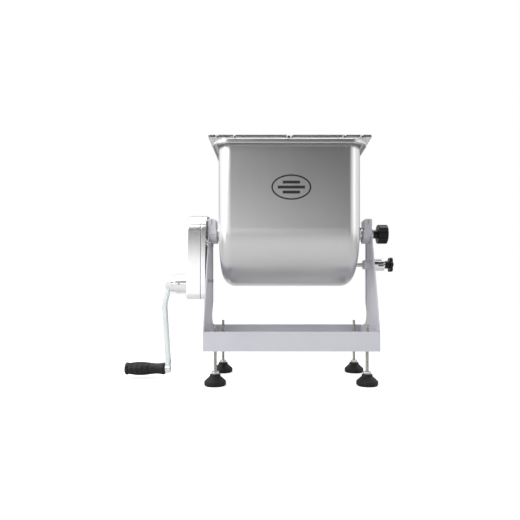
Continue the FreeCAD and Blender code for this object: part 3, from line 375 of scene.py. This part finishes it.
def makeTankSteel():
    finish = Finish("tankSteel", Metallic=1.0)
    streaks = finish.grain((900, 900, 14), 0.25, 0.75)
    bands = finish.grain((60, 60, 3))
    hairs = finish.add(streaks, bands, 0.4)
    finish.colour(finish.blendColour(hairs, (0.64, 0.64, 0.645), (0.66, 0.66, 0.665)))
    finish.roughness(finish.span(hairs, 0.27, 0.31))
    finish.relief(streaks, 0.01, 0.0001)
    return finish.material


def makeCasing():
    finish = Finish("casingAluminium", Metallic=0.80)
    skin = finish.grain((90, 90, 90))
    cloud = finish.grain((12, 12, 12))
    finish.colour(finish.blendColour(cloud, (0.88, 0.88, 0.885), (0.92, 0.92, 0.925)))
    finish.roughness(finish.span(skin, 0.13, 0.19))
    return finish.material


def makeTurnedSteel(name, tint, low, high, stretch=(300, 60, 60), metal=1.0):
    finish = Finish(name, Metallic=metal)
    rings = finish.grain(stretch)
    finish.colour(finish.blendColour(rings, tuple(0.92 * part for part in tint), tint))
    finish.roughness(finish.span(rings, low, high))
    finish.relief(rings, 0.02, 0.0001)
    return finish.material


def makeMouldedBlack(name, tone, low, high, peel=600):
    finish = Finish(name, Metallic=0.0, Specular_IOR_Level=0.35)
    fine = finish.grain((peel, peel, peel))
    cloud = finish.grain((30, 30, 30))
    finish.colour(finish.blendColour(cloud, (tone, tone, tone * 1.06),
                                     (tone * 1.7, tone * 1.7, tone * 1.8)))
    finish.roughness(finish.span(fine, low, high))
    finish.relief(fine, 0.15, 0.0002)
    return finish.material


def makeClearSheet():
    finish = Finish("clearSheet", Metallic=0.0, Transmission_Weight=0.92, IOR=1.49)
    haze = finish.grain((70, 70, 70))
    finish.colour(finish.blendColour(haze, (0.90, 0.92, 0.93), (0.97, 0.98, 0.98)))
    finish.roughness(finish.span(haze, 0.03, 0.10))
    return finish.material


# Pale finish of the lid tabs: painted highlight, standing in for the white reflections along the lid's
# front edge
def makePaintedHighlightPlastic():
    finish = Finish("paintedHighlightPlastic", Metallic=0.0)
    cloud = finish.grain((200, 200, 200))
    finish.colour(finish.blendColour(cloud, (0.86, 0.86, 0.86), (0.94, 0.94, 0.94)))
    finish.roughness(finish.span(cloud, 0.35, 0.5))
    return finish.material


def makePrint():
    finish = Finish("printInk", Metallic=0.0)
    worn = finish.grain((900, 900, 900))
    finish.colour(finish.blendColour(worn, (0.006, 0.006, 0.007), (0.014, 0.014, 0.015)))
    finish.roughness(finish.span(worn, 0.45, 0.6))
    return finish.material


framePaint = makeFramePaint()
tankSteel = makeTankSteel()
casing = makeCasing()
shaftSteel = makeTurnedSteel("shaftSteel", (0.66, 0.66, 0.67), 0.18, 0.32)
gearSteel = makeTurnedSteel("gearSteel", (0.40, 0.40, 0.41), 0.25, 0.42)
zincScrew = makeTurnedSteel("zincScrew", (0.55, 0.55, 0.56), 0.22, 0.38, (300, 300, 300))
studNickel = makeTurnedSteel("studNickel", (0.60, 0.585, 0.55), 0.22, 0.36, (60, 60, 300))
bronze = makeTurnedSteel("bronzeBush", (0.62, 0.42, 0.20), 0.28, 0.42)
crankZinc = makeTurnedSteel("crankZinc", (0.91, 0.965, 0.97), 0.16, 0.26, (120, 120, 8), 0.30)
brightChrome = makeTurnedSteel("brightChrome", (0.90, 0.90, 0.91), 0.08, 0.16)
footRubber = makeMouldedBlack("footRubber", 0.005, 0.42, 0.60)
knobBlack = makeMouldedBlack("knobBlack", 0.003, 0.26, 0.40)
gripBlack = makeMouldedBlack("gripBlack", 0.007, 0.34, 0.50)
sealRubber = makeMouldedBlack("sealRubber", 0.020, 0.50, 0.65)
clearSheet = makeClearSheet()
printInk = makePrint()
paintedHighlightPlastic = makePaintedHighlightPlastic()
slotFinish = {
    "frame_paint": framePaint, "tank_steel": tankSteel, "lid_clear": clearSheet,
    "fastener_steel": zincScrew, "shaft_steel": shaftSteel, "gear_steel": gearSteel,
    "casing_aluminium": casing, "bronze": bronze, "seal_rubber": sealRubber,
    "crank_zinc": crankZinc, "grip_plastic": gripBlack, "knob_plastic": knobBlack,
    "housing_chrome": brightChrome, "foot_rubber": footRubber, "stud_nickel": studNickel,
}
slotOf = {}
for entry in frame["record"]["subparts"]:
    slotOf[entry["node"]] = entry["material_slot"]
for name, node in nodes.items():
    node.data.materials.clear()
    node.data.materials.append(slotFinish[slotOf[name]])
print("finishes made")


# Camera, floor and studio light

studio = {
    "cameraPlace": (0.0331, -1.108, 0.222), "lens": 30.81, "shift": (-0.0238, 0.0558),
    "floorSize": 12.0, "floorTone": 0.92, "floorMirrored": 0.80,
    "floorGlow": 0.62, "hiddenGlow": 0.0, "lampTarget": (0, 0, 0.3),
    "lamps": (("keyBox", (-1.2, -1.6, 1.9), 23.0, 1.2, 1.2),  # name, place, watts, width, height
              ("topBox", (0.0, 0.2, 2.6), 34.0, 2.6, 2.6),
              ("leftStrip", (-1.8, -0.9, 0.6), 5.0, 0.5, 1.6),
              ("rightStrip", (1.8, -0.9, 0.6), 2.0, 0.5, 1.6)),
    "frontWall": ((0.30, 0.70), (0.46, 0.90), (0.52, 0.95), (0.56, 0.86),  # height, tone
                  (0.60, 0.40), (0.64, 0.06), (0.80, 0.06), (0.93, 0.20)),
    "wallLeft": (-0.75, -0.28, 0.0, 1.0), "wallRight": (0.32, 0.74, 1.0, 0.0),
    "wallFront": (0.0, -0.25, 0.0, 1.0), "wallSides": (-0.25, 0.32, 1.5, 0.32),
    "roomTone": 1.0, "roomRight": (0.1, 0.9, 1.0, 0.75), "roomBehind": (0.30, 0.95, 1.0, 0.35),
    "roomMirrored": (0.55, 1.5),
}


def makeStudio():
    bpy.ops.object.camera_add(location=studio["cameraPlace"], rotation=(math.radians(90), 0, 0))
    camera = bpy.context.object
    camera.data.lens = studio["lens"]
    camera.data.shift_x, camera.data.shift_y = studio["shift"]
    camera.data.clip_start = 0.01
    bpy.context.scene.camera = camera
    clearSelection()
    bpy.ops.mesh.primitive_plane_add(size=studio["floorSize"], location=(0, 0, 0))
    floor = bpy.context.object
    floor.name = "paleFloor"
    floor.data.materials.append(makeFloorFinish())
    for name, place, power, width, height in studio["lamps"]:
        addSoftbox(name, place, studio["lampTarget"], power, width, height)
    bpy.context.scene.view_settings.view_transform = "Standard"


# Pale matt sweep that the bright metal sees one step darker, like a lit table in a dim room
def makeFloorFinish():
    finish = Finish("floorWhite", Roughness=0.9, Emission_Color=(1, 1, 1, 1))
    tone, mirrored = studio["floorTone"], studio["floorMirrored"]
    cloud = finish.grain((3, 3, 3))
    pale = finish.blendColour(cloud, (tone, tone, tone), (tone + 0.02,) * 3)
    rays = finish.tree.nodes.new("ShaderNodeLightPath")
    finish.colour(finish.blendColours(rays.outputs["Is Glossy Ray"], pale, (mirrored,) * 3))
    glow = finish.span(rays.outputs["Is Camera Ray"], studio["hiddenGlow"], studio["floorGlow"])
    finish.link(glow, finish.shader.inputs["Emission Strength"])
    return finish.material


def addSoftbox(name, place, target, power, width, height):
    bpy.ops.object.light_add(type="AREA", location=place)
    lamp = bpy.context.object
    lamp.name = name
    lamp.data.energy = power
    lamp.data.shape = "RECTANGLE"
    lamp.data.size = width
    lamp.data.size_y = height
    direction = Vector(target) - Vector(place)
    lamp.rotation_euler = direction.to_track_quat("-Z", "Y").to_euler()


def worldSpan(tree, source, limits):
    spread = tree.nodes.new("ShaderNodeMapRange")
    spread.interpolation_type = "SMOOTHSTEP"
    for socket, value in zip(("From Min", "From Max", "To Min", "To Max"), limits):
        spread.inputs[socket].default_value = value
    tree.links.new(source, spread.inputs["Value"])
    return spread.outputs["Result"]


def worldProduct(tree, first, second):
    product = tree.nodes.new("ShaderNodeMath")
    product.operation = "MULTIPLY"
    tree.links.new(first, product.inputs[0])
    tree.links.new(second, product.inputs[1])
    return product.outputs[0]


# White room, darker to the left, behind and on the front side, which the steel reflects
def makeWorld():
    world = bpy.data.worlds.new("whiteRoom")
    bpy.context.scene.world = world
    world.use_nodes = True
    tree = world.node_tree
    background = tree.nodes["Background"]
    place = tree.nodes.new("ShaderNodeTexCoord")
    parts = tree.nodes.new("ShaderNodeSeparateXYZ")
    tree.links.new(place.outputs["Generated"], parts.inputs[0])
    leftEdge = worldSpan(tree, parts.outputs["X"], studio["wallLeft"])
    rightEdge = worldSpan(tree, parts.outputs["X"], studio["wallRight"])
    inFront = worldSpan(tree, parts.outputs["Y"], studio["wallFront"])
    facing = worldProduct(tree, worldProduct(tree, leftEdge, rightEdge), inFront)
    height = tree.nodes.new("ShaderNodeValToRGB")
    ramp = height.color_ramp
    stops = studio["frontWall"]
    ramp.elements[0].position = stops[0][0]
    ramp.elements[0].color = (stops[0][1],) * 3 + (1,)
    ramp.elements[1].position = 1.0
    ramp.elements[1].color = (1.0, 1.0, 1.0, 1)
    for position, tone in stops[1:]:
        stop = ramp.elements.new(position)
        stop.color = (tone, tone, tone, 1)
    lift = tree.nodes.new("ShaderNodeMapRange")
    lift.inputs["From Min"].default_value = -1.0
    tree.links.new(parts.outputs["Z"], lift.inputs["Value"])
    tree.links.new(lift.outputs["Result"], height.inputs["Fac"])
    slope = worldSpan(tree, parts.outputs["X"], studio["wallSides"])
    shade = tree.nodes.new("ShaderNodeVectorMath")
    shade.operation = "SCALE"
    tree.links.new(height.outputs["Color"], shade.inputs[0])
    tree.links.new(slope, shade.inputs["Scale"])
    room = tree.nodes.new("ShaderNodeVectorMath")
    room.operation = "SCALE"
    room.inputs[0].default_value = (studio["roomTone"],) * 3
    roomShade = worldProduct(tree, worldSpan(tree, parts.outputs["X"], studio["roomRight"]),
                             worldSpan(tree, parts.outputs["Y"], studio["roomBehind"]))
    tree.links.new(roomShade, room.inputs["Scale"])
    seen = tree.nodes.new("ShaderNodeLightPath")
    gleam = tree.nodes.new("ShaderNodeVectorMath")
    gleam.operation = "SCALE"
    tree.links.new(room.outputs[0], gleam.inputs[0])
    tree.links.new(worldSpan(tree, seen.outputs["Is Glossy Ray"], (0, 1, *studio["roomMirrored"])),
                   gleam.inputs["Scale"])
    wall = tree.nodes.new("ShaderNodeMix")
    wall.data_type = "RGBA"
    wall.clamp_result = False
    tree.links.new(gleam.outputs[0], wall.inputs["A"])
    tree.links.new(facing, wall.inputs["Factor"])
    tree.links.new(shade.outputs[0], wall.inputs["B"])
    shown = tree.nodes.new("ShaderNodeMix")
    shown.data_type = "RGBA"
    shown.inputs["B"].default_value = (1.0, 1.0, 1.0, 1)
    tree.links.new(seen.outputs["Is Camera Ray"], shown.inputs["Factor"])
    tree.links.new(wall.outputs["Result"], shown.inputs["A"])
    tree.links.new(shown.outputs["Result"], background.inputs["Color"])
    background.inputs["Strength"].default_value = 1.0


makeStudio()
makeWorld()
print("studio ready")


# Turned and moulded pieces, modelled afresh

grip = {
    "profile": ((0, 13.0), (0.6, 13.6), (2.6, 14.8), (4.6, 15.0), (6.6, 14.7), (10, 13.9),
                (14, 13.25), (20, 13.15), (26, 13.25), (32, 13.9), (36.4, 14.4), (38, 14.6),
                (44, 15.3), (50.4, 16.05), (52, 16.25), (58, 16.5), (64.4, 16.55), (66, 16.55),
                (72, 16.2), (77.6, 15.65), (79.2, 15.4), (84, 14.75), (88.6, 14.3), (90.2, 14.2),
                (92, 14.5), (94, 15.5), (96.4, 15.3), (97.6, 14.6), (98, 14.0)),
    "inner": -309.4, "axisHeight": 24.3, "sides": 60, "edge": 0.34, "grooveDepth": 1.1,
    "grooveRings": ((36.4, 38), (50.4, 52), (64.4, 66), (77.6, 79.2), (88.6, 90.2)),
    "grooveZone": (36.4, 90.2), "grooveStep": 30, "grooveAngle": 6,
    "cupProfile": ((0, 9.4), (0.35, 9.2), (0.5, 8.4)), "cupSides": 48, "cupInset": 0.5,
}


def makeGrip():
    start = at(grip["inner"], 0, grip["axisHeight"])
    piece = turnedProfile("moulded_grip", grip["profile"], grip["sides"], start, (-1, 0, 0))
    openMesh(piece)
    low, high = grip["grooveZone"]

    def inGroove(face):
        middle = face.calc_center_median()
        distance = (start.x - middle.x) / mm
        if not low < distance < high or len(face.verts) != 4:
            return False
        if any(first < distance < last for first, last in grip["grooveRings"]):
            return True
        turn = math.degrees(math.atan2(middle.z - start.z, middle.y)) % grip["grooveStep"]
        return turn < grip["grooveAngle"]

    selectFaces(piece, inGroove)
    depth = -grip["grooveDepth"] * mm
    bpy.ops.mesh.extrude_region_shrink_fatten(TRANSFORM_OT_shrink_fatten={"value": depth})
    closeMesh()
    applyModifier(piece, "BEVEL", width=grip["edge"] * mm, segments=2, limit_method="ANGLE",
                  angle_limit=math.radians(35))
    settle(piece, 40)
    finished(piece, "grip", "grip_plastic", gripBlack, "grip")
    outer = grip["inner"] - grip["profile"][-1][0]
    cup = turnedProfile("grip_end_cup", grip["cupProfile"], grip["cupSides"],
                        at(outer + grip["cupInset"], 0, grip["axisHeight"]), (-1, 0, 0))
    settle(cup)
    finished(cup, "grip", "shaft_steel", shaftSteel)


foot = {
    "profile": ((0.05, 22.0), (0.3, 22.9), (1.6, 24.2), (3, 24.9), (4.2, 25.0), (9.4, 25.0),
                (10.6, 24.8), (11.5, 24.1), (13.2, 21.9), (13.5, 21.9), (15.4, 19.5), (15.7, 19.5),
                (17.6, 17.1), (17.9, 17.1), (19.8, 14.7), (20.1, 14.7), (21.4, 12.9), (22.2, 12.5),
                (25.2, 12.5), (25.8, 12.2), (26, 11.6)),
    "padSides": 72,
    "places": {"front_left": (-175, -83), "front_right": (175, -83), "rear_left": (-175, 83),
               "rear_right": (175, 83)},
    "threadLow": 32.4, "threadPitch": 1.5, "threadTurns": 72, "threadSides": 20,
    "crest": 3.98, "root": 3.35,
    "nutFlats": 17.0, "nutLow": 26.0, "nutHigh": 32.5,
    "nutChamferDepth": 0.7, "nutChamferWidth": 1.0, "nutEdge": 0.35,
}


def makeThread(name, x, y):
    pitch = foot["threadPitch"]
    turn = ((0, foot["root"]), (0.3 * pitch, foot["crest"]), (0.7 * pitch, foot["crest"]),
            (pitch, foot["root"]))
    piece = turnedProfile(name, turn, foot["threadSides"], at(x, y, foot["threadLow"]),
                          (0, 0, 1), capEnds=False)
    applyModifier(piece, "ARRAY", count=foot["threadTurns"], use_relative_offset=False,
                  use_constant_offset=True, constant_offset_displace=(0, 0, pitch * mm),
                  use_merge_vertices=True, merge_threshold=0.00002)
    openMesh(piece)
    bpy.ops.mesh.select_all(action="SELECT")
    bpy.ops.mesh.fill_holes(sides=0)
    bpy.ops.mesh.select_all(action="SELECT")
    bpy.ops.mesh.normals_make_consistent(inside=False)
    closeMesh()
    return piece


# Hexagon nut with both faces chamfered
def makeNut(name, flats, low, high, x, y):
    corner = flats / math.sqrt(3)
    face, chamfer = corner - foot["nutChamferWidth"], foot["nutChamferDepth"]
    piece = turnedProfile(name, ((0, face), (chamfer, corner), (high - low - chamfer, corner),
                                 (high - low, face)), 6, at(x, y, low), (0, 0, 1))
    applyModifier(piece, "BEVEL", width=foot["nutEdge"] * mm, segments=2, limit_method="ANGLE",
                  angle_limit=math.radians(25))
    return piece


def makeFeet():
    for side, (x, y) in foot["places"].items():
        body = side + "_foot"
        pad = turnedProfile(side + "_rubber_pad", foot["profile"], foot["padSides"],
                            at(x, y, 0), (0, 0, 1))
        settle(pad, 25)
        finished(pad, body, "foot_rubber", footRubber, body + "_pad")
        nut = makeNut(side + "_lock_nut", foot["nutFlats"], foot["nutLow"], foot["nutHigh"], x, y)
        thread = makeThread(side + "_thread", x, y)
        stud = join([thread, nut], side + "_threaded_stud")
        settle(stud, 25)
        finished(stud, body, "stud_nickel", studNickel, body + "_stud")


star = {"inner": 246.0, "outer": 254.6, "height": 282.3, "neckStart": 234.4, "neckRadius": 9.5,
        "sides": 144, "rimRadius": 19.3, "shapedFrom": 14.0, "rayWidth": 0.002,
        "lobes": 6, "lobeCircle": 13.8, "lobeRadius": 5.5, "waistRadius": 14.6}


# Six-lobed head: every side of a fine disc is moved in or out to follow the lobes
def makeStarKnob():
    start = at(star["neckStart"], 0, star["height"])
    long = star["outer"] - star["neckStart"]
    step = star["inner"] - star["neckStart"]
    neck, rim = star["neckRadius"], star["rimRadius"]
    profile = ((0, 8.9), (0.6, neck), (step - 1.2, neck), (step - 0.4, 9.9), (step, 11.5),
               (step + 0.3, 17.4), (step + 1.6, rim), (long - 2.6, rim), (long - 0.9, 18.2),
               (long - 0.3, 15.5), (long - 0.15, 9.0), (long - 0.15, 6.2), (long, 5.8))
    piece = turnedProfile("star_knob_moulding", profile, star["sides"], start, (1, 0, 0))
    openMesh(piece)
    for index in range(star["sides"]):
        turn = math.radians(index * 360 / star["sides"])
        reach = lobeReach(turn)
        shrink = reach / rim

        def onRay(edge, turn=turn):
            points = [vertex.co - start for vertex in edge.verts]
            if not all(point.x > (step + 0.1) * mm for point in points):
                return False
            for point in points:
                angle = math.atan2(point.z, point.y)
                away = (angle - turn + math.pi) % (2 * math.pi) - math.pi
                if abs(away) > star["rayWidth"] or point.length < star["shapedFrom"] * mm:
                    return False
            return True

        selectEdges(piece, onRay)
        bpy.ops.transform.resize(value=(1, shrink, shrink), center_override=tuple(start))
    closeMesh()
    settle(piece, 30)
    finished(piece, "plunger", "knob_plastic", knobBlack, "plunger_knob")


def lobeReach(turn):
    step = 2 * math.pi / star["lobes"]
    away = (turn + step / 2) % step - step / 2
    side = star["lobeCircle"] * math.sin(away)
    if abs(side) < star["lobeRadius"]:
        lobe = star["lobeCircle"] * math.cos(away) + math.sqrt(star["lobeRadius"] ** 2 - side ** 2)
        return max(lobe, star["waistRadius"])
    return star["waistRadius"]


emblem = {"middle": -1.5, "height": 446.5, "front": -128.0, "thickness": 0.12,
          "ring": (44.0, 28.0), "line": 3.4, "sides": 96,
          "bars": ((11.0, 19.0), (0.0, 30.0), (-11.0, 19.0)), "barHalfHeight": 3.2}


# Plain oval with three bars, a generic mark
def makeEmblem():
    wide, tall = emblem["ring"]
    middle = at(emblem["middle"], emblem["front"], emblem["height"])
    clearSelection()
    bpy.ops.mesh.primitive_circle_add(vertices=emblem["sides"], radius=1, fill_type="NGON")
    oval = bpy.context.object
    oval.name = "oval_emblem"
    oval.scale = (wide * mm, tall * mm, 1)
    oval.rotation_euler = (math.radians(90), 0, 0)
    oval.location = middle
    bpy.ops.object.transform_apply(location=True, rotation=True, scale=True)
    openMesh(oval)
    bpy.ops.mesh.select_all(action="SELECT")
    bpy.ops.mesh.inset(thickness=emblem["line"] * mm)
    bpy.ops.mesh.delete(type="FACE")
    bpy.ops.mesh.select_all(action="SELECT")
    bpy.ops.mesh.extrude_region_move(
        TRANSFORM_OT_translate={"value": (0, -emblem["thickness"] * mm, 0)})
    bpy.ops.mesh.select_all(action="SELECT")
    bpy.ops.mesh.normals_make_consistent(inside=False)
    closeMesh()
    pieces = [oval]
    back, centre, thick = emblem["front"], emblem["middle"], emblem["barHalfHeight"]
    for shift, half in emblem["bars"]:
        level = emblem["height"] + shift
        low = (centre - half, back - emblem["thickness"], level - thick)
        pieces.append(blockPiece("emblem_bar", low, (centre + half, back, level + thick), 0))
    piece = join(pieces, "oval_emblem")
    settle(piece, 30)
    finished(piece, "tank", "seal_rubber", printInk)


lidTabs = {"low": 549.6, "high": 555.0, "front": -146.7, "deep": 3.0, "width": 2.2,
           "places": (-165.2, -127.4, -11.6, -3.2, 109.3, 148.2), "stop": (-8.9, -5.9),
           "edge": 0.3, "stopEdge": 0.6, "stopInset": 1.0}


# Pale tabs on the lid's front edge, one where the edge shows each white reflection: painted highlight.
# A dark rubber stop sits between the middle pair
def makeLidTabs():
    low, high, front = lidTabs["low"], lidTabs["high"], lidTabs["front"]
    half, back = lidTabs["width"] / 2, front + lidTabs["deep"]
    tabs = []
    for place in lidTabs["places"]:
        tabs.append(blockPiece("tab", (place - half, front, low), (place + half, back, high),
                               lidTabs["edge"]))
    piece = join(tabs, "painted_highlight_lid_tabs")
    settle(piece, 40)
    finished(piece, "lid", "lid_clear", paintedHighlightPlastic)
    first, last = lidTabs["stop"]
    inset = lidTabs["stopInset"]
    stop = blockPiece("lid_stop", (first, front, low + inset), (last, back, high - inset),
                      lidTabs["stopEdge"])
    settle(stop, 40)
    finished(stop, "lid", "seal_rubber", sealRubber)


makeGrip()
makeFeet()
makeStarKnob()
makeEmblem()
makeLidTabs()
print("moulded pieces made")


# Pieces copied from the exact model, with their sharp edges broken

dressed = {
    "base_frame": ("base", "frame_paint", 0.9), "left_upright": ("base", "frame_paint", 0.8),
    "right_upright": ("base", "frame_paint", 0.8), "left_bearing_saddle": ("base", "frame_paint", 0.8),
    "right_bearing_saddle": ("base", "frame_paint", 0.8),
    "left_bearing_cap": ("base", "frame_paint", 0.5), "right_bearing_cap": ("base", "frame_paint", 0.5),
    "gearbox_cover": ("base", "casing_aluminium", 0.4),
    "gearbox_back_plate": ("base", "casing_aluminium", 0.5),
    "tank_shell": ("tank", "tank_steel", 0.0), "left_trunnion": ("tank", "tank_steel", 0.5),
    "right_trunnion": ("tank", "tank_steel", 0.5), "index_lugs": ("tank", "tank_steel", 0.4),
    "lid_plate": ("lid", "lid_clear", 0.7), "crank_arm": ("crank", "crank_zinc", 0.5),
    "clamp_knob": ("clamp_knob", "knob_plastic", 0.8),
    "plunger_housing": ("base", "housing_chrome", 0.35), "plunger_bush": ("base", "frame_paint", 0.5),
    "plunger_pin": ("plunger", "shaft_steel", 0.2), "end_plate": ("base", "shaft_steel", 0.4),
    "foot_corner_plates": ("base", "frame_paint", 0.4), "frame_nuts": ("base", "fastener_steel", 0.3),
    "trunnion_screws": ("tank", "fastener_steel", 0.25), "paddle_arms": ("paddle", "shaft_steel", 0.5),
    "paddle_blades": ("paddle", "shaft_steel", 0.6), "upright_bolts": ("base", "fastener_steel", 0.2),
    "crank_screw": ("crank", "fastener_steel", 0.2),
}


def dressNodes():
    for name, (body, slotName, edge) in dressed.items():
        piece = copyOfNode(name, name + "_dressed", edge * mm)
        finished(piece, body, slotName, slotFinish[slotName], name)


dressNodes()
print("edges broken on", len(dressed), "pieces")
